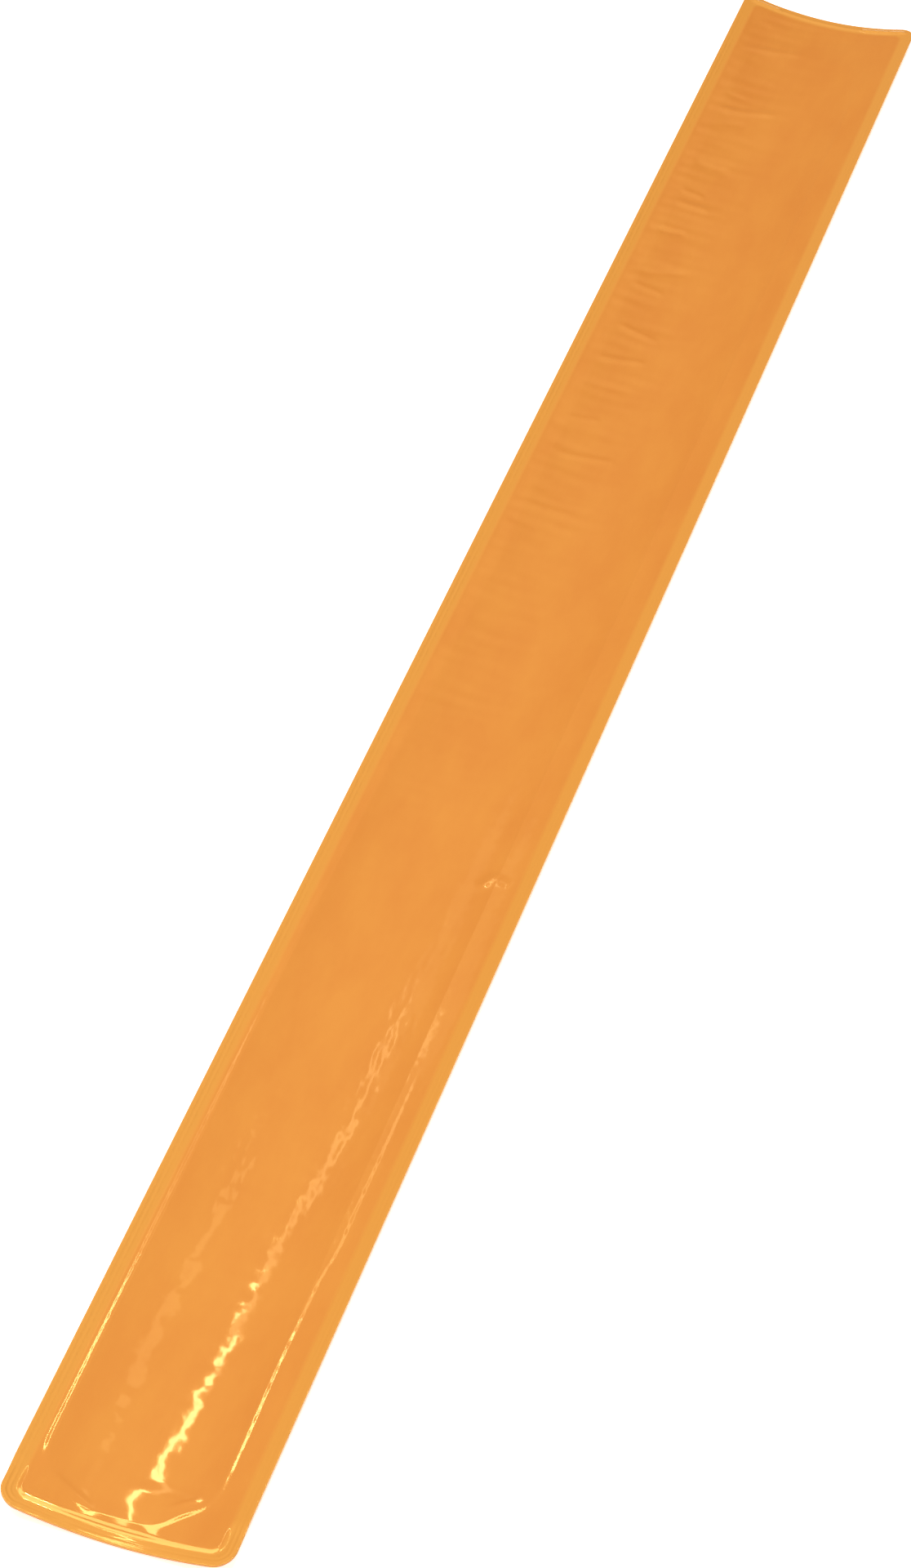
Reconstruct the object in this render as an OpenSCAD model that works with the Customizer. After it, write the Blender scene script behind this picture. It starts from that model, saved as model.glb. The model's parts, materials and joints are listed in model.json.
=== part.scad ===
// Snap-on reflective safety band, lying straight with its shiny face up.
// Two plastic films are welded round their rim over a thin sprung steel blade.
// +X runs along the band, Y across it and +Z out of the shiny face.
// The origin is on the back, under the middle of the band.
// The band bends anywhere, so it is cut into equal links that hinge on their lower edges.

/* [Band] */
// Length of the straight band
band_length = 340; // [250:5:420]
// Width of the band
band_width = 30; // [25:1:40]
// Depth of the lengthwise trough that holds the band straight
trough_depth = 2.2; // [1.5:0.1:3]
// Radius of the band's outer corners
band_corner = 2.6; // [1:0.1:4]

/* [Films] */
// Thickness of the plain back film
back_film_t = 0.35; // [0.2:0.05:0.6]
// Thickness of the reflective front film
front_film_t = 0.45; // [0.2:0.05:0.8]
// Width of the flat weld along each long edge
side_weld = 2; // [1.5:0.1:2.2]
// Width of the flat weld at each end
end_weld = 2.2; // [1.5:0.1:2.3]
// Radius of the raised pocket's corners
pocket_corner = 1.6; // [1.2:0.1:3]

/* [Spring blade] */
// Length of the steel blade
blade_length = 325; // [310:1:325]
// Width of the steel blade
blade_width = 22.6; // [18:0.2:22.6]
// Thickness of the steel blade
blade_t = 0.2; // [0.1:0.05:0.3]
// Radius of the blade's corners
blade_corner = 8.5; // [2:0.5:9]
// How far the loose blade has slid along its pocket
blade_slide_x = 4.6; // [0:0.1:4.6]
// How far the loose blade has slid across its pocket
blade_slide_y = -1; // [-1:0.1:1]
// Slack above and below the blade
blade_slack = 0.04; // [0.02:0.01:0.1]

/* [Links] */
// Number of stiff links that the band is cut into, always odd
link_count = 19; // [3:2:19]
// Gap between neighbouring links
link_gap = 0.1; // [0.02:0.02:0.3]

/* [Hidden] */
$fn = 360;
LAYERS = ["front_film", "spring_blade", "back_film"];

link_length = band_length / link_count;
// Place along X of the hinge line between link k and the next
function boundary(k) = -band_length / 2 + k * link_length;
// Radius of the trough, from its depth across the band's width
trough_radius = (pow(band_width / 2, 2) + pow(trough_depth, 2)) / (2 * trough_depth);

// Heights of the layers, measured square to the band from its lower face
weld_top = back_film_t + front_film_t;
blade_bottom = back_film_t + blade_slack;
blade_top = blade_bottom + blade_t;
pocket_top = blade_top + blade_slack;
crown_top = pocket_top + front_film_t;

// Plan sizes of the band, the raised crown of the front film, the room under it and the blade
band_size = [band_length, band_width];
crown_size = band_size - 2 * [end_weld, side_weld];
pocket_size = crown_size - 2 * [front_film_t, front_film_t];
blade_size = [blade_length, blade_width];

// Rounded rectangle seen from above
module outline(size, corner) {
    square(size - [2 * corner, 0], center = true);
    square(size - [0, 2 * corner], center = true);
    for (x = [-1, 1])
        for (y = [-1, 1])
            translate([x * (size[0] / 2 - corner), y * (size[1] / 2 - corner)])
                circle(r = corner);
}

// Curved cross-section between two heights above the band's lower face
module section(low, high) {
    intersection() {
        translate([0, trough_radius])
            difference() {
                circle(r = trough_radius - low);
                circle(r = trough_radius - high);
            }
        translate([-band_width / 2 - 1, -1])
            square([band_width + 2, trough_depth + crown_top + 2]);
    }
}

// One link's share of a curved layer, trimmed to a plan outline
module layer(k, low, high, size, corner, gap = link_gap, shift = [0, 0]) {
    // Links meet at a gap; the two outermost run past the outline, which trims them
    start = k == 1 ? -band_length / 2 - 1 : boundary(k - 1) + gap / 2;
    end = k == link_count ? band_length / 2 + 1 : boundary(k) - gap / 2;
    intersection() {
        translate([start, 0, 0])
            rotate([90, 0, 90])
                linear_extrude(height = end - start)
                    section(low, high);
        translate([shift[0], shift[1], -1])
            linear_extrude(height = trough_depth + crown_top + 2)
                outline(size, corner);
    }
}

// Plain film on the inside of the curled band
module back_film(k) {
    color("orange")
        layer(k, 0, back_film_t, band_size, band_corner);
}

// Sprung steel strip, loose in the pocket between the films
module spring_blade(k) {
    color("silver")
        layer(k, blade_bottom, blade_top, blade_size, blade_corner,
              shift = [blade_slide_x, blade_slide_y]);
}

// Shiny film, flat on the weld rim and raised over the pocket
module front_film(k) {
    color("darkorange")
        difference() {
            union() {
                layer(k, back_film_t, weld_top, band_size, band_corner);
                layer(k, back_film_t, crown_top, crown_size, pocket_corner);
            }
            layer(k, 0, pocket_top, pocket_size, pocket_corner - front_film_t, gap = 0);
        }
}

for (k = [1:link_count]) {
    front_film(k);
    spring_blade(k);
    back_film(k);
}
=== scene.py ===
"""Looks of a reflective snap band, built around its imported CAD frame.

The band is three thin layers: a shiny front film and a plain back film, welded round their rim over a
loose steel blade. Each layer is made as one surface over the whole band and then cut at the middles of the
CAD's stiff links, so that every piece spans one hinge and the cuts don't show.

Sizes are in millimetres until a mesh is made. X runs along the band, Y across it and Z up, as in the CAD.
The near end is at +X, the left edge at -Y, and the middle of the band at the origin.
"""

import json
import math

import bpy
import numpy as np
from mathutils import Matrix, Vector


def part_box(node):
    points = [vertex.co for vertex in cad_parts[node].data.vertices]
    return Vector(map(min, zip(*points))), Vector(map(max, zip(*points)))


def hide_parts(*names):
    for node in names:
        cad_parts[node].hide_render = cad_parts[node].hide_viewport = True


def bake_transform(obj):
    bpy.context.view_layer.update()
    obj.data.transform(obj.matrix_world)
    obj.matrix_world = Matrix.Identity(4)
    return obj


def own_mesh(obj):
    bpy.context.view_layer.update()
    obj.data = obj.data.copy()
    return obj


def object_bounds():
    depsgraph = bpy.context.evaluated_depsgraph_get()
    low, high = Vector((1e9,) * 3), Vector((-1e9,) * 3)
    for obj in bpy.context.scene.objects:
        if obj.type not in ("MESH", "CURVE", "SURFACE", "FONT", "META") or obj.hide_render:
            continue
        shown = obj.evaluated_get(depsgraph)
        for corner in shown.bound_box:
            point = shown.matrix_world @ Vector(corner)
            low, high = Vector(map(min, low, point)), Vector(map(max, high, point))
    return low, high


MM = 0.001

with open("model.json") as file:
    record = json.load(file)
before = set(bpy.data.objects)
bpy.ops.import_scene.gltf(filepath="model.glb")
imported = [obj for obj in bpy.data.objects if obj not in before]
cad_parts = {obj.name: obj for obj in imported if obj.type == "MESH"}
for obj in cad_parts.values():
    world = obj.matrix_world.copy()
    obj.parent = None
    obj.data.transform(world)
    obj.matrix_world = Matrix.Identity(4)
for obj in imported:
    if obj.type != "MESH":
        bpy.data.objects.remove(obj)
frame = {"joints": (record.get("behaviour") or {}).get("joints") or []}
cad_low, cad_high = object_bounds()

# Band, from the frame
LENGTH = (cad_high.x - cad_low.x) / MM
WIDTH = (cad_high.y - cad_low.y) / MM
HINGES = sorted(joint["pos_m"][0] / MM for joint in frame["joints"])
LINK = HINGES[1] - HINGES[0]
LINK_COUNT = len(HINGES) + 1
MIDDLE_LINK = (LINK_COUNT + 1) // 2


def node_box(node):
    """Lowest and highest corner of a CAD node, in millimetres."""
    low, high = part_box(node)
    return np.array(low) / MM, np.array(high) / MM


# Blade's plan: its ends, its edges and its corner radius
BLADE_START = node_box("spring_blade_1")[0][0]
BLADE_END = node_box(f"spring_blade_{LINK_COUNT}")[1][0]
BLADE_LEFT, BLADE_RIGHT = (corner[1] for corner in node_box(f"spring_blade_{MIDDLE_LINK}"))
BLADE_CORNER = 8.5

# Cross-section: heights are measured square to the band from its lower face
TROUGH_DEPTH = 2.2
TROUGH_RADIUS = ((WIDTH / 2) ** 2 + TROUGH_DEPTH**2) / (2 * TROUGH_DEPTH)
BACK_T = 0.35
FRONT_T = 0.45
BLADE_T = 0.2
BLADE_ROUND = BLADE_T / 4
BLADE_SLACK = 0.04
BLADE_LOW = BACK_T + BLADE_SLACK
WELD_TOP = BACK_T + FRONT_T
CROWN_TOP = BLADE_LOW + BLADE_T + BLADE_SLACK + FRONT_T

# Plan of the films
BAND_CORNER = 2.6
SIDE_WELD = 2.0
END_WELD = 2.2
NEAR_WELD_SHIFT = 0.3
POCKET_CORNER = 1.4
EDGE_ROUND = 0.12


# ---------------------------------------------------------------- surfaces


def ease(t):
    """Smooth step from 0 to 1."""
    t = np.clip(t, 0, 1)
    return t * t * (3 - 2 * t)


def fade(place, ends):
    """Smooth step from 0 at the first of two places to 1 at the second, whichever is greater."""
    return ease((place - ends[0]) / (ends[1] - ends[0]))


def bump(distance, width):
    """Bell curve, 1 where distance is 0."""
    return np.exp(-((distance / width) ** 2))


def depth_inside(x, y, low, high, corner):
    """Distance inwards from the outline of a rounded rectangle, negative outside it."""
    half = (np.array(high) - np.array(low)) / 2
    middle = (np.array(high) + np.array(low)) / 2
    qx = np.abs(x - middle[0]) - half[0] + corner
    qy = np.abs(y - middle[1]) - half[1] + corner
    outside = np.hypot(np.maximum(qx, 0), np.maximum(qy, 0))
    return corner - outside - np.minimum(np.maximum(qx, qy), 0)


def band_depth(x, y):
    low = (-LENGTH / 2, -WIDTH / 2)
    high = (LENGTH / 2, WIDTH / 2)
    return depth_inside(x, y, low, high, BAND_CORNER)


def pocket_depth(x, y):
    half_x = LENGTH / 2 - END_WELD
    half_y = WIDTH / 2 - SIDE_WELD
    high = (half_x + NEAR_WELD_SHIFT, half_y)
    return depth_inside(x, y, (-half_x, -half_y), high, POCKET_CORNER)


def blade_depth(x, y):
    low = (BLADE_START, BLADE_LEFT)
    high = (BLADE_END, BLADE_RIGHT)
    return depth_inside(x, y, low, high, BLADE_CORNER)


RIPPLE_WAVES = 24


def ripple(x, y, height, seed, length_x, length_y):
    """Smooth random waves of about a given height, with a typical length along each axis."""
    draw = np.random.default_rng(seed)
    total = np.zeros(np.broadcast(x, y).shape)
    for _ in range(RIPPLE_WAVES):
        kx = draw.normal() * 2 * math.pi / length_x
        ky = draw.normal() * 2 * math.pi / length_y
        total += np.cos(kx * x + ky * y + draw.uniform(0, 2 * math.pi))
    return height * total / math.sqrt(RIPPLE_WAVES / 2)


FOLD_TIP = 0.3


def crease(x, y, start, end, width, height):
    """Narrow fold between two points, fading out at both."""
    start, end = np.array(start), np.array(end)
    along = end - start
    t = ((x - start[0]) * along[0] + (y - start[1]) * along[1]) / (along @ along)
    near = np.clip(t, 0, 1)
    gap = np.hypot(x - start[0] - near * along[0], y - start[1] - near * along[1])
    tips = ease(t / FOLD_TIP + FOLD_TIP) * ease((1 - t) / FOLD_TIP + FOLD_TIP)
    return height * tips * bump(gap, width)


def rounded(edge_depth, radius):
    """Fall of a face towards its outline, for a rounded edge."""
    d = np.clip(edge_depth, 0, radius)
    return radius - np.sqrt(radius**2 - (radius - d) ** 2)


# Puckers along the left weld: from and to where, the gap from one to the next, and the ranges of the rest
TUCKS_START = -152.0
TUCKS_END = -10.0
TUCK_SEED = 31
TUCK_GAP = (3, 12)
TUCK_LENGTH = (3, 9)
TUCK_SLANT = (-0.6, 0.3)
TUCK_Y = (-11.8, -9.5)
TUCK_HEIGHT = (0.06, 0.16)
TUCK_WIDTH = (0.45, 0.9)
TUCKS_FADE = (10, -80)


def tucks():
    """Short puckers that run in from the left weld, where the front film is gathered a little."""
    draw = np.random.default_rng(TUCK_SEED)
    made = []
    x = TUCKS_START
    while x < TUCKS_END:
        x += draw.uniform(*TUCK_GAP)
        length = draw.uniform(*TUCK_LENGTH)
        slant = draw.uniform(*TUCK_SLANT) * length
        y = draw.uniform(*TUCK_Y)
        height = draw.choice([-1, 1]) * draw.uniform(*TUCK_HEIGHT) * fade(x, TUCKS_FADE)
        width = draw.uniform(*TUCK_WIDTH)
        made.append(((x, y), (x + slant, y + length), width, height))
    return made


# Single folds of the loose front film: start, end, width and height
FOLDS = [
    ((162.6, 4.0), (166.6, 1.7), 1.4, 0.02),
    ((163.4, 4.8), (161.0, 8.2), 0.4, 0.05),
    ((163.8, -10.0), (166.4, -3.8), 0.55, 0.065),
    ((48.6, 9.4), (51.6, 7.7), 0.7, 0.12),
    ((49.4, 9.9), (50.4, 11.6), 0.6, 0.06),
    ((-155.0, -12.0), (-157.8, -2.0), 0.7, 0.09),
]

# Parts of the band where the front film differs: each fades in between two places along X or Y
NEAR_PART = (80, 120)
NEAR_END = (163, 166)
FAR_PART = (70, -20)
LEFT_PART = (6, -8)
LEFT_EDGE = (-6, -10)
RIGHT_PART = (1.5, 4.5)

# Rim: how far it is pressed in at the left and at the near end, and between which depths in the pocket
LEFT_PRESS = 0.04
LEFT_PRESS_FADE = (0.25, -0.25)
NEAR_PRESS = 0.24
NEAR_PRESS_FADE = (0.45, -0.45)

# Raised lines round the rim: depth from the outline and share of the height, then width and heights
RIM_LINES = [(0.55, 1.0), (1.15, 0.7)]
RIM_LINE_WIDTH = 0.14
RIM_LINE = 0.01
RIM_LINE_LEFT = 0.012
RIM_LINE_NEAR = 0.035
RIM_PRESSURE = 0.85
RIM_WAVES = (0.25, 11, 30, 30)

# Rib along the far weld, higher towards both corners
FAR_RIB = 0.17
FAR_RIB_CORNERS = 0.28
FAR_RIB_RIGHT = (5, 7)
FAR_RIB_LEFT = (-8, -9.5)
FAR_RIB_FADE = (0.48, 1.68)
FAR_RIB_PLACE = 1.0
FAR_RIB_WIDTH = 0.48


def rim_relief(x, y, edge, pocket):
    """Height that the front film gains or loses along its weld."""
    near_end = fade(x, NEAR_END)
    high = -LEFT_PRESS * fade(y, LEFT_EDGE) * fade(pocket, LEFT_PRESS_FADE)
    high = high - NEAR_PRESS * near_end * fade(pocket, NEAR_PRESS_FADE)
    # Uneven pressure along the weld makes its lines come and go
    uneven = RIM_PRESSURE + ripple(x, y, *RIM_WAVES)
    line = RIM_LINE + RIM_LINE_LEFT * fade(y, LEFT_PART) + RIM_LINE_NEAR * near_end
    for depth, share in RIM_LINES:
        high = high + share * line * uneven * bump(edge - depth, RIM_LINE_WIDTH)
    rib = FAR_RIB + FAR_RIB_CORNERS * (fade(y, FAR_RIB_RIGHT) + fade(y, FAR_RIB_LEFT))
    from_far_end = x + LENGTH / 2
    return high + rib * fade(edge, FAR_RIB_FADE) * bump(from_far_end - FAR_RIB_PLACE, FAR_RIB_WIDTH)


# Lip, where the film leaves the blade's top: its depth inside the blade's outline
LIP = -0.25
LIP_NEAR = 0.65
LIP_NEAR_PART = (118, 126)
LIP_WAVES = (0.08, 41, 45, 1)
LIP_CORNER = (163.9, 6.5)
LIP_CORNER_DEPTH = 0.85
LIP_CORNER_WIDTH = 2.8
LIP_LEAST = 0.6
LIP_FAR_LEFT = 1.6
REACH_LEAST = 0.5

# Left of the blade, the film bulges a little near the near end
LEFT_BULGE = 0.026
LEFT_BULGE_PART = (95, 140)

# Strip just outside the lip on the right: its width, and the slope that makes it catch the window
STRIP_PART = (84, 92)
STRIP_WIDTH = 0.45
STRIP_SLOPE = 0.113
STRIP_SLOPE_GAIN = 0.0006
STRIP_SLOPE_START = 91
STRIP_SLOPE_LOSS = 0.015
STRIP_SLOPE_LOSS_PART = (100, 120)
STRIP_SLOPE_CORNER = 0.09
STRIP_CORNER_WIDTH = 2.4

# Round the blade's near right corner the film is also pulled down to the right
CORNER_PULL = 0.055
CORNER_PULL_PLACE = (162.6, 8)
CORNER_PULL_WIDTH = 2.6


def stretched(x, y, pocket, blade):
    """Height of the front film above the weld, as it is stretched from there up to the blade's edge."""
    rise = CROWN_TOP - WELD_TOP
    left_edge = fade(y, LEFT_EDGE)
    corner_gap = np.hypot(x - LIP_CORNER[0], y - LIP_CORNER[1])
    lip = LIP + LIP_NEAR * fade(x, LIP_NEAR_PART) + ripple(x, 0 * y, *LIP_WAVES)
    lip = lip + LIP_CORNER_DEPTH * bump(corner_gap, LIP_CORNER_WIDTH)
    outer_lip = np.maximum(lip, LIP_LEAST * (1 - fade(x, NEAR_END)))
    outer_lip = outer_lip + LIP_FAR_LEFT * fade(x, FAR_PART) * left_edge
    from_weld = np.maximum(pocket, 0)
    whole = from_weld + np.maximum(outer_lip - blade, 0)
    share = from_weld / np.maximum(whole, 1e-6)
    share = share + left_edge * (ease(share) - share)
    high = rise * share + LEFT_BULGE * left_edge * fade(x, LEFT_BULGE_PART) * (1 - share)
    slope = STRIP_SLOPE + STRIP_SLOPE_GAIN * (x - STRIP_SLOPE_START)
    slope = slope - STRIP_SLOPE_LOSS * fade(x, STRIP_SLOPE_LOSS_PART)
    slope = slope + STRIP_SLOPE_CORNER * bump(corner_gap, STRIP_CORNER_WIDTH)
    steeper = (slope - rise / np.maximum(whole, REACH_LEAST)) * fade(y, RIGHT_PART) * fade(x, STRIP_PART)
    high = high - steeper * np.clip(lip - blade, 0, STRIP_WIDTH)
    pull_x, pull_y = CORNER_PULL_PLACE
    pull_gap = np.hypot(x - pull_x, y - pull_y)
    return high - CORNER_PULL * (y - pull_y) * bump(pull_gap, CORNER_PULL_WIDTH)


# Waves of the loose film: height, seed, and typical lengths along X and Y
SWELL = (0.03, 21, 60, 30)
GATHERS = (0.016, 22, 5, 22)
FINE_WAVES = (0.002, 23, 5, 4)
FINEST_WAVES = (0.001, 24, 2.2, 1.8)
NEAR_WAVES = (0.007, 25, 6, 8)
STREAK_WAVES = (0.006, 26, 14, 3)

# Where those waves fade in and out: depths in the pocket or inside the blade, or places along X
SWELL_FADE = (0, 4)
POCKET_FADE = (0, 1.2)
BLADE_FADE = (1.5, 4.5)
STREAK_START = (40, 60)
STREAK_END = (128, 108)
CALM_PART = (158, 161)
CALM = 0.7

# Mound of film over the blade's near end, which breaks the streak of light
MOUND = 0.1
MOUND_START = (159.8, 162.2)
MOUND_END = (166.8, 162.2)
MOUND_Y = 3.2
MOUND_WIDTH = 4.5


def loose_film(x, y, pocket, blade):
    """Waves, mound, folds and puckers of the front film where nothing holds it down."""
    inside, over_blade = fade(pocket, POCKET_FADE), fade(blade, BLADE_FADE)
    calm = 1 - CALM * fade(x, CALM_PART)
    far_left = fade(x, FAR_PART) * fade(y, LEFT_PART)
    high = fade(pocket, SWELL_FADE) * ripple(x, y, *SWELL)
    high = high + over_blade * calm * fade(x, NEAR_PART) * ripple(x, y, *NEAR_WAVES)
    high = high + inside * far_left * ripple(x, y, *GATHERS)
    high = high + inside * calm * (ripple(x, y, *FINE_WAVES) + ripple(x, y, *FINEST_WAVES))
    streak = fade(x, STREAK_START) * fade(x, STREAK_END)
    high = high + over_blade * streak * ripple(x, y, *STREAK_WAVES)
    mound = fade(x, MOUND_START) * fade(x, MOUND_END) * bump(y - MOUND_Y, MOUND_WIDTH)
    high = high + MOUND * mound
    for start, end, width, height in FOLDS + tucks():
        high = high + inside * crease(x, y, start, end, width, height)
    return high


def front_top(x, y):
    """Height of the front film's shiny face."""
    edge, pocket, blade = band_depth(x, y), pocket_depth(x, y), blade_depth(x, y)
    relief = rim_relief(x, y, edge, pocket)
    film = stretched(x, y, pocket, blade) + loose_film(x, y, pocket, blade)
    return WELD_TOP + relief + film - rounded(edge, EDGE_ROUND)


POCKET_WALL = (0.3, 0.8)


def front_low(x, y):
    """Height of the front film's underside: on the back film at the weld, clear of the blade inside."""
    over_blade = CROWN_TOP - FRONT_T - BACK_T
    return BACK_T + over_blade * fade(pocket_depth(x, y), POCKET_WALL)


def back_top(x, y):
    """Height of the back film's inner face."""
    return np.full(np.broadcast(x, y).shape, BACK_T)


# Outer face of the back film: how far it is pressed in at the weld, and the lines' depths and size
BACK_PRESS = 0.07
BACK_PRESS_FADE = (0.25, -0.25)
BACK_LINES = [0.5, 1.1]
BACK_LINE = 0.015


def back_low(x, y):
    """Height of the back film's outer face, pressed in a little at the weld."""
    edge = band_depth(x, y)
    pressed = BACK_PRESS * fade(pocket_depth(x, y), BACK_PRESS_FADE)
    lines = BACK_LINE * sum(bump(edge - depth, RIM_LINE_WIDTH) for depth in BACK_LINES)
    return pressed - lines + rounded(edge, EDGE_ROUND)


def blade_top(x, y):
    return BLADE_LOW + BLADE_T - rounded(blade_depth(x, y), BLADE_ROUND)


def blade_low(x, y):
    return BLADE_LOW + rounded(blade_depth(x, y), BLADE_ROUND)


WELD_MARK_FADE = (0.4, -0.4)


def weld_mark(x, y):
    """1 on the flat weld rim and 0 over the pocket."""
    return fade(pocket_depth(x, y), WELD_MARK_FADE)


def place(x, y, height):
    """Point of the troughed band at a height above its lower face."""
    z = TROUGH_RADIUS - np.sqrt((TROUGH_RADIUS - height) ** 2 - y**2)
    return np.stack([np.broadcast_to(x, z.shape), np.broadcast_to(y, z.shape), z], -1)


# ---------------------------------------------------------------- meshes


# Rings of points along a layer: how many there are round a corner, how long the border of closer rings is
# past it, how far from an end a cut has to be, and how much wider than the border's the fine part's steps are
CORNER_RINGS = 15
BORDER = 6
CUT_MARGIN = 12
FINE_GROWTH = 1.6


def cuts():
    """Where the layers are cut: at the middle of every link but the first and the last."""
    return [hinge + LINK / 2 for hinge in HINGES[:-1]]


def columns(start, end, corner, step, fine_step, fine_from):
    """Places along X, close together at both ends and past fine_from, and exact at every cut."""
    turn = corner * (1 - np.cos(np.linspace(0, math.pi / 2, CORNER_RINGS)))
    rounding = [0, EDGE_ROUND * 0.3, EDGE_ROUND]
    border = np.arange(corner, corner + BORDER, fine_step)
    tips = np.unique(np.round(np.concatenate([rounding, turn, border]), 5))
    inner_cuts = [cut for cut in cuts() if start + CUT_MARGIN < cut < end - CUT_MARGIN]
    stops = [start + tips[-1], *inner_cuts, end - tips[-1]]
    parts = [start + tips]
    for a, b in zip(stops, stops[1:]):
        size = step if a < fine_from else fine_step * FINE_GROWTH
        parts.append(np.linspace(a, b, max(2, round((b - a) / size) + 1)))
    parts.append(end - tips)
    return np.unique(np.round(np.concatenate(parts), 5))


def half_width(x, start, end, half, corner):
    """Half the width of a rounded rectangle at each place along it."""
    tip = np.clip(corner - np.minimum(x - start, end - x), 0, corner)
    return half - corner + np.sqrt(np.maximum(corner**2 - tip**2, 0))


# Points across a layer, as shares of its half width: the outermost few, and where the closer ones begin
TIP_SHARES = np.array([1, 0.997, 0.992, 0.984, 0.974])
BORDER_SHARE = 0.64


def rows(count, edge_count):
    """Shares of the half width across the band, closer together towards both edges."""
    border = np.linspace(BORDER_SHARE, TIP_SHARES[-1], edge_count)
    middle = np.linspace(-BORDER_SHARE, BORDER_SHARE, count)
    shares = np.concatenate([-TIP_SHARES, -border, middle, border, TIP_SHARES])
    return np.unique(np.round(shares, 6))


def layer_grid(x, middle, half, top, low, top_count, low_count):
    """Rings of points round a layer, one at each place along X: its top from left to right, then below."""
    up, down = rows(*top_count), rows(*low_count)[::-1]
    rings = []
    for share, height in ((up, top), (down, low)):
        y = middle + half[:, None] * share[None, :]
        columns_x = np.repeat(x[:, None], len(share), 1)
        rings.append(place(columns_x, y, height(columns_x, y)))
    return np.concatenate(rings, 1)


def unit(v):
    return v / np.maximum(np.linalg.norm(v, axis=-1, keepdims=True), 1e-12)


def grid_normals(points):
    """Smooth normals of the rings, from their neighbours along and round the layer."""
    step = unit(points[1:] - points[:-1])
    nothing = np.zeros_like(points[:1])
    along = np.concatenate([step, nothing]) + np.concatenate([nothing, step])
    turn = unit(np.roll(points, -1, 1) - points)
    across = turn + np.roll(turn, 1, 1)
    return unit(np.cross(unit(along), unit(across)))


def make_piece(name, points, normals, material, marks):
    """Closed mesh of some rings of a layer, with the whole layer's normals on it."""
    count, around = points.shape[:2]
    index = np.arange(count * around).reshape(count, around)
    nxt = np.roll(index, -1, 1)
    walls = np.stack([index[:-1], index[1:], nxt[1:], nxt[:-1]], -1).reshape(-1, 4)
    faces = walls.tolist() + [index[0].tolist(), index[-1][::-1].tolist()]
    mesh = bpy.data.meshes.new(name)
    mesh.from_pydata((points.reshape(-1, 3) * MM).tolist(), [], faces)
    mesh.polygons.foreach_set("use_smooth", [True] * len(faces))
    flat = normals.reshape(-1, 3)
    corner_normals = flat[walls.ravel()].tolist()
    corner_normals += [(-1.0, 0.0, 0.0)] * around + [(1.0, 0.0, 0.0)] * around
    mesh.normals_split_custom_set(corner_normals)
    for key, values in marks.items():
        attribute = mesh.attributes.new(key, "FLOAT", "POINT")
        attribute.data.foreach_set("value", values.ravel().astype(np.float32))
    mesh.materials.append(material)
    piece = bpy.data.objects.new(name, mesh)
    bpy.context.scene.collection.objects.link(piece)
    return piece


# The ends of the pieces then fan apart on the outside, so each piece runs on past its cuts as a tongue,
# sunk just inside its neighbour
TONGUE = 1.05
TONGUE_SINK = 0.03
CUT_TOLERANCE = 1e-4


def make_layer(layer, material, x, middle, half, top, low, counts, marks_by_name=()):
    """Builds one whole layer, cuts it at the links' middles into pieces that each span one hinge, and hides
    the CAD parts they stand in for.
    """
    points = layer_grid(x, middle, half, top, low, *counts)
    normals = grid_normals(points)
    marks = {name: mark(points[..., 0], points[..., 1]) for name, mark in marks_by_name}
    stops = [x[0]] + cuts() + [x[-1]]
    for k, (a, b) in enumerate(zip(stops, stops[1:]), start=1):
        part = (x > a - TONGUE) & (x < b + TONGUE)
        past_cut = (x[part] < a - CUT_TOLERANCE) | (x[part] > b + CUT_TOLERANCE)
        sunk = TONGUE_SINK * past_cut[:, None, None] * normals[part]
        piece = make_piece(
            f"{layer}_piece_{k}",
            points[part] - sunk,
            normals[part],
            material,
            {key: values[part] for key, values in marks.items()},
        )
        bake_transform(piece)
        replaced = [f"{layer}_{k}"]
        if k == len(HINGES):
            replaced.append(f"{layer}_{k + 1}")
        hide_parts(*replaced)


# ---------------------------------------------------------------- materials


def new_material(name):
    """Material with an empty Principled surface, and helpers to add nodes and links."""
    material = bpy.data.materials.new(name)
    material.use_nodes = True
    tree = material.node_tree
    surface = tree.nodes["Principled BSDF"]

    def node(kind, **values):
        made = tree.nodes.new(kind)
        for key, value in values.items():
            if hasattr(made, key):
                setattr(made, key, value)
            else:
                made.inputs[key.replace("_", " ")].default_value = value
        return made

    return material, surface, node, tree.links.new


def colour_mix(node, link, factor, first, second):
    """Mix of two colours, each a colour or another node's output."""
    mix = node("ShaderNodeMix", data_type="RGBA")
    link(factor, mix.inputs["Factor"])
    sockets = [socket for socket in mix.inputs if socket.type == "RGBA"]
    for socket, value in zip(sockets, (first, second)):
        if isinstance(value, tuple):
            socket.default_value = (*value, 1)
        else:
            link(value, socket)
    return next(socket for socket in mix.outputs if socket.type == "RGBA")


def scaled_position(node, link, scale):
    """Object coordinates stretched along each axis."""
    position = node("ShaderNodeTexCoord").outputs["Object"]
    mapping = node("ShaderNodeMapping", Scale=scale)
    link(position, mapping.inputs["Vector"])
    return mapping.outputs["Vector"]


def patchy_roughness(node, link, surface, patches, limits):
    """Varies the surface's roughness with its patches."""
    rough = node("ShaderNodeMapRange", To_Min=limits[0], To_Max=limits[1])
    link(patches.outputs["Fac"], rough.inputs["Value"])
    link(rough.outputs["Result"], surface.inputs["Roughness"])


def add_relief(link, surface, relief, height):
    """Gives the surface the fine relief of a bump node."""
    link(height, relief.inputs["Height"])
    link(relief.outputs["Normal"], surface.inputs["Normal"])


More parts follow.
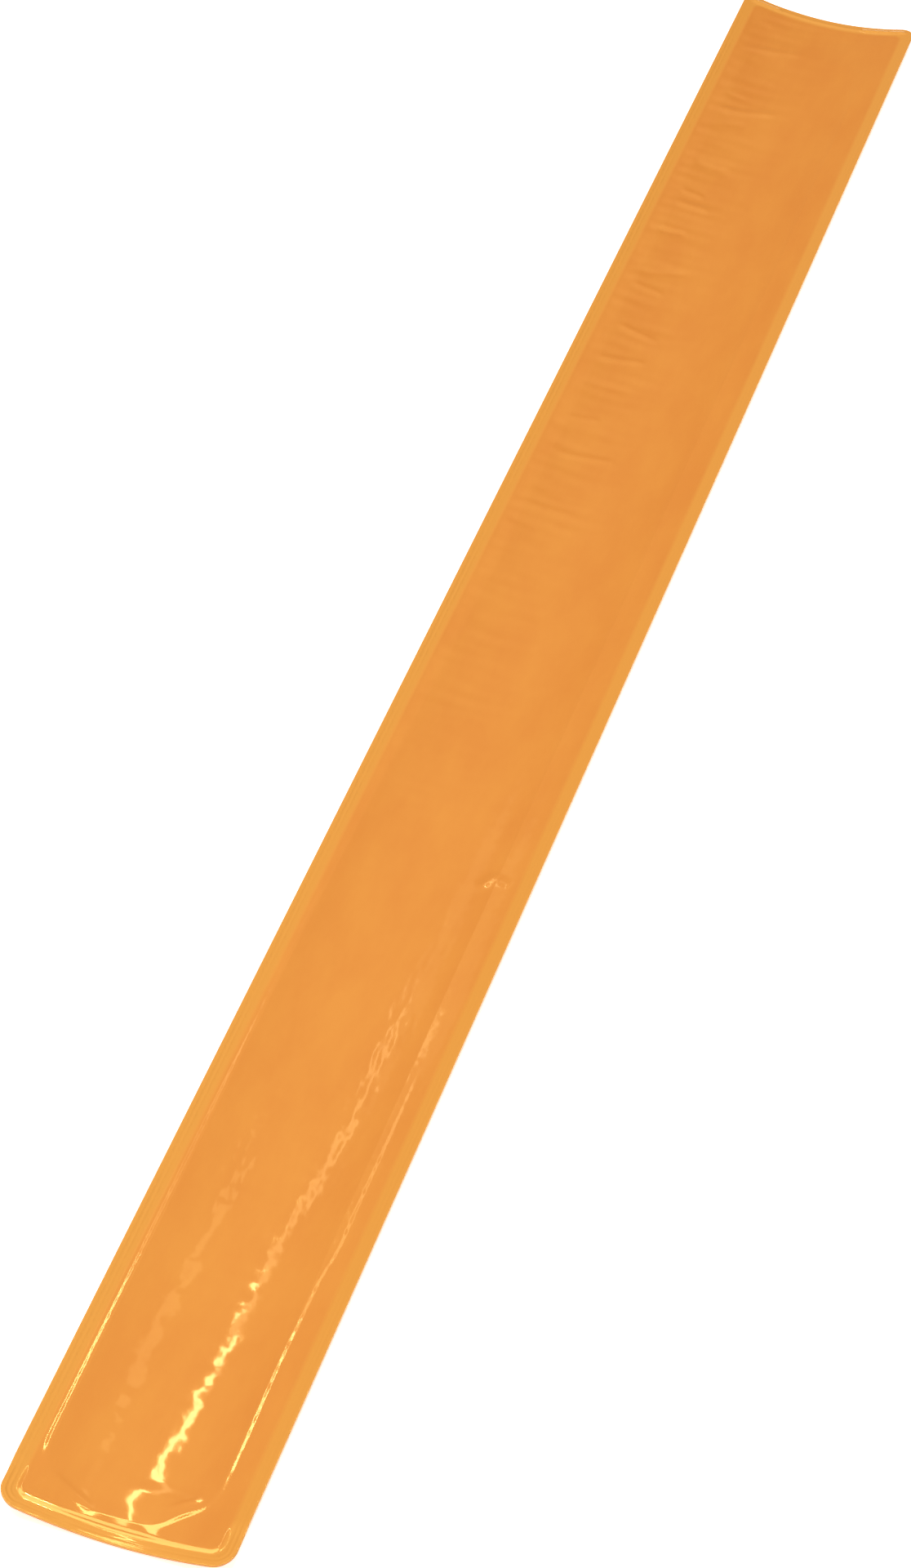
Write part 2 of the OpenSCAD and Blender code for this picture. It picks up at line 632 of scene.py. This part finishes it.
# Linear colours, the lowest and highest roughness, and each pattern's repeats per metre along X, Y and Z
BODY_COLOUR = (0.85, 0.308, 0.05)
PATCH_COLOUR = (0.82, 0.28, 0.045)
RIM_COLOUR = (0.88, 0.36, 0.06)
GLOSS_COLOUR = (1.0, 0.9, 0.22)
FRONT_ROUGHNESS = (0.05, 0.08)
FRONT_PATCHES = (60, 160, 60)
FRONT_GRAIN = (900, 1400, 900)
BACK_COLOUR = (0.80, 0.28, 0.05)
BACK_PATCH_COLOUR = (0.74, 0.24, 0.04)
BACK_ROUGHNESS = (0.42, 0.58)
BACK_PATCHES = (90, 90, 90)
BACK_GRAIN = (2600, 2600, 2600)
STEEL_DARK = (0.55, 0.56, 0.58)
STEEL_PALE = (0.66, 0.67, 0.68)
STEEL_ROUGHNESS = (0.22, 0.38)
BRUSH_MARKS = (20, 3000, 3000)


def front_material():
    """Clear glossy cover over an orange reflective sheet: tinted gloss, faint patches and a fine grain."""
    material, surface, node, link = new_material("front_film")
    patches = node("ShaderNodeTexNoise", Scale=1.0, Detail=4.0, Roughness=0.6)
    link(scaled_position(node, link, FRONT_PATCHES), patches.inputs["Vector"])
    spread = node("ShaderNodeMapRange", From_Min=0.35, From_Max=0.65)
    link(patches.outputs["Fac"], spread.inputs["Value"])
    body = colour_mix(node, link, spread.outputs["Result"], BODY_COLOUR, PATCH_COLOUR)
    weld = node("ShaderNodeAttribute", attribute_name="weld")
    colour = colour_mix(node, link, weld.outputs["Fac"], body, RIM_COLOUR)
    link(colour, surface.inputs["Base Color"])
    noise = node("ShaderNodeTexNoise", Scale=1.0, Detail=3.0, Roughness=0.55)
    link(scaled_position(node, link, FRONT_GRAIN), noise.inputs["Vector"])
    relief = node("ShaderNodeBump", Strength=0.12, Distance=0.00002)
    add_relief(link, surface, relief, noise.outputs["Fac"])
    patchy_roughness(node, link, surface, patches, FRONT_ROUGHNESS)
    surface.inputs["Specular Tint"].default_value = (*GLOSS_COLOUR, 1)
    surface.inputs["Specular IOR Level"].default_value = 0.7
    surface.inputs["Metallic"].default_value = 0.05
    surface.inputs["Coat Weight"].default_value = 0.18
    surface.inputs["Coat Roughness"].default_value = 0.05
    return material


def back_material():
    """Plain orange film with a fine matt grain."""
    material, surface, node, link = new_material("back_film")
    patches = node("ShaderNodeTexNoise", Scale=1.0, Detail=3.0)
    link(scaled_position(node, link, BACK_PATCHES), patches.inputs["Vector"])
    colour = colour_mix(node, link, patches.outputs["Fac"], BACK_COLOUR, BACK_PATCH_COLOUR)
    link(colour, surface.inputs["Base Color"])
    cells = node("ShaderNodeTexVoronoi", Scale=1.0)
    link(scaled_position(node, link, BACK_GRAIN), cells.inputs["Vector"])
    relief = node("ShaderNodeBump", Strength=0.35, Distance=0.00004)
    add_relief(link, surface, relief, cells.outputs["Distance"])
    patchy_roughness(node, link, surface, patches, BACK_ROUGHNESS)
    return material


def blade_material():
    """Rolled spring steel, brushed lengthwise."""
    material, surface, node, link = new_material("spring_blade")
    streaks = node("ShaderNodeTexNoise", Scale=1.0, Detail=4.0)
    link(scaled_position(node, link, BRUSH_MARKS), streaks.inputs["Vector"])
    colour = colour_mix(node, link, streaks.outputs["Fac"], STEEL_DARK, STEEL_PALE)
    link(colour, surface.inputs["Base Color"])
    patchy_roughness(node, link, surface, streaks, STEEL_ROUGHNESS)
    surface.inputs["Metallic"].default_value = 1.0
    return material


# ---------------------------------------------------------------- layers


# Steps along X: between rings, where they are closer, and from where on
FILM_STEP = 0.5
FILM_FINE_STEP = 0.15
FILM_FINE_START = 80
BLADE_STEP = 1.0
BLADE_FINE_STEP = 0.6

# Points across a layer's top and its underside: in the middle, and in each border
FRONT_COUNTS = ((61, 60), (21, 12))
BACK_COUNTS = ((15, 8), (31, 24))
BLADE_COUNTS = ((21, 6), (21, 6))


def make_films():
    start, end = -LENGTH / 2, LENGTH / 2
    x = columns(start, end, BAND_CORNER, FILM_STEP, FILM_FINE_STEP, FILM_FINE_START)
    half = half_width(x, start, end, WIDTH / 2, BAND_CORNER)
    marks = [("weld", weld_mark)]
    make_layer("front_film", front_material(), x, 0.0, half, front_top, front_low, FRONT_COUNTS, marks)
    make_layer("back_film", back_material(), x, 0.0, half, back_top, back_low, BACK_COUNTS)


def make_blade():
    x = columns(BLADE_START, BLADE_END, BLADE_CORNER, BLADE_STEP, BLADE_FINE_STEP, BLADE_END)
    half_y = (BLADE_RIGHT - BLADE_LEFT) / 2
    half = half_width(x, BLADE_START, BLADE_END, half_y, BLADE_CORNER)
    middle = (BLADE_RIGHT + BLADE_LEFT) / 2
    make_layer("spring_blade", blade_material(), x, middle, half, blade_top, blade_low, BLADE_COUNTS)


# ---------------------------------------------------------------- camera, floor and light


def direction(azimuth, elevation):
    """Unit vector from the band towards a viewer or a light; azimuth 0 is on the -Y side."""
    a, e = math.radians(azimuth), math.radians(elevation)
    return Vector((math.sin(a) * math.cos(e), -math.cos(a) * math.cos(e), math.sin(e)))


# Camera: where it looks from and how it is turned, in degrees; its distance and shifts in metres
CAMERA_AZIMUTH = 105.635
CAMERA_ELEVATION = 44.012
CAMERA_ROLL = 3.528
CAMERA_DISTANCE = 0.6402
CAMERA_RIGHT = -0.01183
CAMERA_UP = -0.02012
LENS = 100.93
SENSOR = 36
NEAREST = 0.01


def make_camera():
    camera = bpy.data.objects.new("camera", bpy.data.cameras.new("camera"))
    camera.data.lens = LENS
    camera.data.sensor_width = SENSOR
    camera.data.clip_start = NEAREST
    back = direction(CAMERA_AZIMUTH, CAMERA_ELEVATION)
    right = (-back).cross(Vector((0, 0, 1))).normalized()
    up = back.cross(right)
    roll = math.radians(CAMERA_ROLL)
    rolled_right = math.cos(roll) * right + math.sin(roll) * up
    rolled_up = math.cos(roll) * up - math.sin(roll) * right
    matrix = camera.matrix_world.to_3x3()
    matrix.col[0], matrix.col[1], matrix.col[2] = rolled_right, rolled_up, back
    camera.matrix_world = matrix.to_4x4()
    camera.location = back * CAMERA_DISTANCE + rolled_right * CAMERA_RIGHT + rolled_up * CAMERA_UP
    bpy.context.scene.collection.objects.link(camera)
    bpy.context.scene.camera = camera


# Floor, in metres: half its side and its height at rest
FLOOR_HALF = 3.0
FLOOR_HEIGHT = -0.0002
FLOOR_COLOUR = (0.93, 0.93, 0.93)
FLOOR_GLOW = 0.7


def make_floor():
    """Pale floor under the band."""
    mesh = bpy.data.meshes.new("floor")
    signs = [(-1, -1), (1, -1), (1, 1), (-1, 1)]
    corners = [(a * FLOOR_HALF, b * FLOOR_HALF, FLOOR_HEIGHT) for a, b in signs]
    mesh.from_pydata(corners, [], [(0, 1, 2, 3)])
    material, surface, _, _ = new_material("floor")
    surface.inputs["Base Color"].default_value = (*FLOOR_COLOUR, 1)
    surface.inputs["Roughness"].default_value = 0.9
    surface.inputs["Emission Color"].default_value = (1, 1, 1, 1)
    surface.inputs["Emission Strength"].default_value = FLOOR_GLOW
    mesh.materials.append(material)
    floor = bpy.data.objects.new("floor", mesh)
    bpy.context.scene.collection.objects.link(floor)
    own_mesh(floor)


def area_light(name, location, along, size, radiance):
    """Rectangular light that faces the middle of the band. Its length runs along a given direction."""
    data = bpy.data.lights.new(name, "AREA")
    data.shape = "RECTANGLE"
    data.size, data.size_y = size
    data.energy = radiance * math.pi * size[0] * size[1]
    light = bpy.data.objects.new(name, data)
    back = location.normalized()
    side = along.cross(back).normalized()
    facing = light.matrix_world.to_3x3()
    facing.col[0], facing.col[1], facing.col[2] = side, back.cross(side), back
    light.matrix_world = facing.to_4x4()
    light.location = location
    bpy.context.scene.collection.objects.link(light)


# The room's walls get brighter upwards, between two heights of the unit view direction
ROOM_HEIGHTS = (0.5, 0.9)
ROOM_BRIGHTNESS = (0.10, 0.75)

# One broad wall is a little brighter, fading with the cosine of the angle from its middle
WALL_AZIMUTH = -50
WALL_ELEVATION = 33
WALL_COSINES = (0.75, 1.0)
WALL_BRIGHTNESS = (0.0, 0.1)


def make_world():
    """Bright room: darker near the horizon, with one broad pale wall behind and to the left of the band."""
    world = bpy.data.worlds.new("studio")
    world.use_nodes = True
    tree = world.node_tree
    view = tree.nodes.new("ShaderNodeTexCoord").outputs["Generated"]

    def ramp(source, values, brightness):
        made = tree.nodes.new("ShaderNodeMapRange")
        made.interpolation_type = "SMOOTHSTEP"
        tree.links.new(source, made.inputs["Value"])
        made.inputs["From Min"].default_value, made.inputs["From Max"].default_value = values
        made.inputs["To Min"].default_value, made.inputs["To Max"].default_value = brightness
        return made.outputs["Result"]

    height = tree.nodes.new("ShaderNodeSeparateXYZ")
    tree.links.new(view, height.inputs["Vector"])
    wall = tree.nodes.new("ShaderNodeVectorMath")
    wall.operation = "DOT_PRODUCT"
    tree.links.new(view, wall.inputs[0])
    wall.inputs[1].default_value = direction(WALL_AZIMUTH, WALL_ELEVATION)
    total = tree.nodes.new("ShaderNodeMath")
    total.operation = "ADD"
    tree.links.new(ramp(height.outputs["Z"], ROOM_HEIGHTS, ROOM_BRIGHTNESS), total.inputs[0])
    tree.links.new(ramp(wall.outputs["Value"], WALL_COSINES, WALL_BRIGHTNESS), total.inputs[1])
    background = tree.nodes["Background"]
    background.inputs["Color"].default_value = (1, 1, 1, 1)
    tree.links.new(total.outputs["Value"], background.inputs["Strength"])
    bpy.context.scene.world = world


# Lights: places and sizes in metres, angles in degrees, and radiances
KEY_PLACE = (0.2, -0.27, 1.15)
KEY_SIZE = (0.35, 1.1)
KEY_RADIANCE = 4.75
LAMP_DISTANCE = 1.6
LAMP_AZIMUTH = 180
LAMP_ELEVATION = 83
LAMP_SIZE = (0.02, 0.25)
LAMP_RADIANCE = 350

# Windows: azimuth, elevation, width, height and radiance
WINDOW_DISTANCE = 3
WINDOWS = {
    "window_high": (-61, 65, 0.07, 1.6, 12),
    "window_mid": (-61, 46.5, 0.07, 0.35, 1.6),
    "window_low": (-61, 42, 0.25, 0.22, 0.22),
    "window_top": (-47, 69, 0.35, 0.5, 7),
    "window_left": (-86, 56, 0.12, 0.25, 0.7),
}


def make_lights():
    """Soft key light overhead, narrow windows that draw the streaks, and a small lamp almost overhead."""
    upright, crosswise = Vector((0, 0, 1)), Vector((0, 1, 0))
    area_light("key", Vector(KEY_PLACE), crosswise, KEY_SIZE, KEY_RADIANCE)
    for name, (azimuth, elevation, width, height, radiance) in WINDOWS.items():
        location = WINDOW_DISTANCE * direction(azimuth, elevation)
        area_light(name, location, upright, (width, height), radiance)
    lamp_place = LAMP_DISTANCE * direction(LAMP_AZIMUTH, LAMP_ELEVATION)
    area_light("lamp", lamp_place, crosswise, LAMP_SIZE, LAMP_RADIANCE)


make_films()
make_blade()
make_camera()
make_floor()
make_world()
make_lights()
bpy.context.scene.view_settings.view_transform = "Standard"
